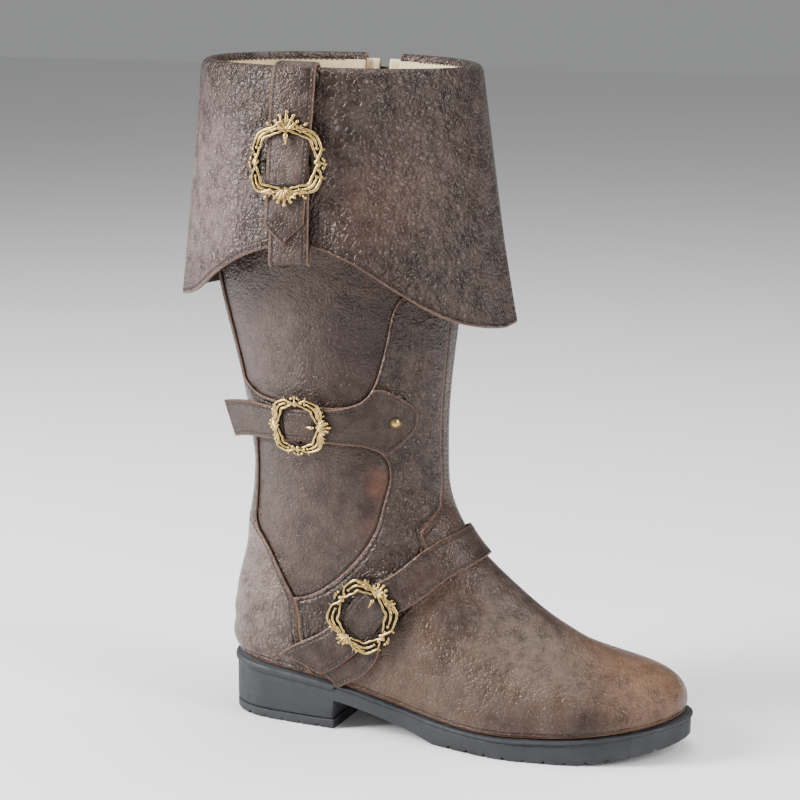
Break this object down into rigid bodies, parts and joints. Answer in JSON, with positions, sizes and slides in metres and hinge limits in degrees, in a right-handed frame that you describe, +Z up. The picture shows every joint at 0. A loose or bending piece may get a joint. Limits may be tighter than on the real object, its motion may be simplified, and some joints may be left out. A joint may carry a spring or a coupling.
{
  "type": "cuffed buckle boot",
  "caption": "Tall right leather boot with a wide turned-down cuff, framed shaft panels, scrollwork buckles on three straps, a low heel and an inner side zip.",
  "frame": {"origin": "on the floor under the middle of the heel", "axes": "+X towards the toe, +Z up; the outer side of the right foot is at -Y"},
  "size_m": [0.3309, 0.1775, 0.4217],
  "materials": {
    "sole_rubber": "matte moulded rubber",
    "lift_rubber": "matte moulded rubber",
    "insole_lining": "cream lining",
    "upper_leather": "distressed, semi matt",
    "vamp_leather": "distressed, rubbed warmer at the toe",
    "counter_leather": "distressed, semi matt",
    "overlay_leather": "distressed, pale raw edges",
    "cuff_leather": "pebbled, shiny in places",
    "strap_leather": "smooth, semi matt",
    "antique_brass": "antique brass, dark in the recesses",
    "zip_fabric": "dark woven tape",
    "zip_metal": "dark antique metal"
  },
  "bodies": {
    "boot": {"outsole": "sole_rubber", "heel_lift": "lift_rubber", "insole": "insole_lining", "upper": "upper_leather", "vamp": "vamp_leather", "counter": "counter_leather", "shaft_overlay": "overlay_leather", "cuff": "cuff_leather", "cuff_strap": "strap_leather", "cuff_keeper": "strap_leather", "ankle_strap": "strap_leather", "instep_strap": "strap_leather", "instep_chape": "strap_leather", "cuff_buckle": "antique_brass", "ankle_buckle": "antique_brass", "instep_buckle": "antique_brass", "rivet": "antique_brass", "zip_tape": "zip_fabric", "zip_chain": "zip_metal", "zip_slider": "zip_metal"},
    "zip_pull": {"zip_pull": "zip_metal"}
  },
  "joints": [
    {"name": "zip_pull_hinge", "type": "hinge", "parent": "boot", "child": "zip_pull", "pos_m": [0.03204, 0.07638, 0.40277], "axis": [1, 0, 0], "range_deg": [0, 150]}
  ]
}
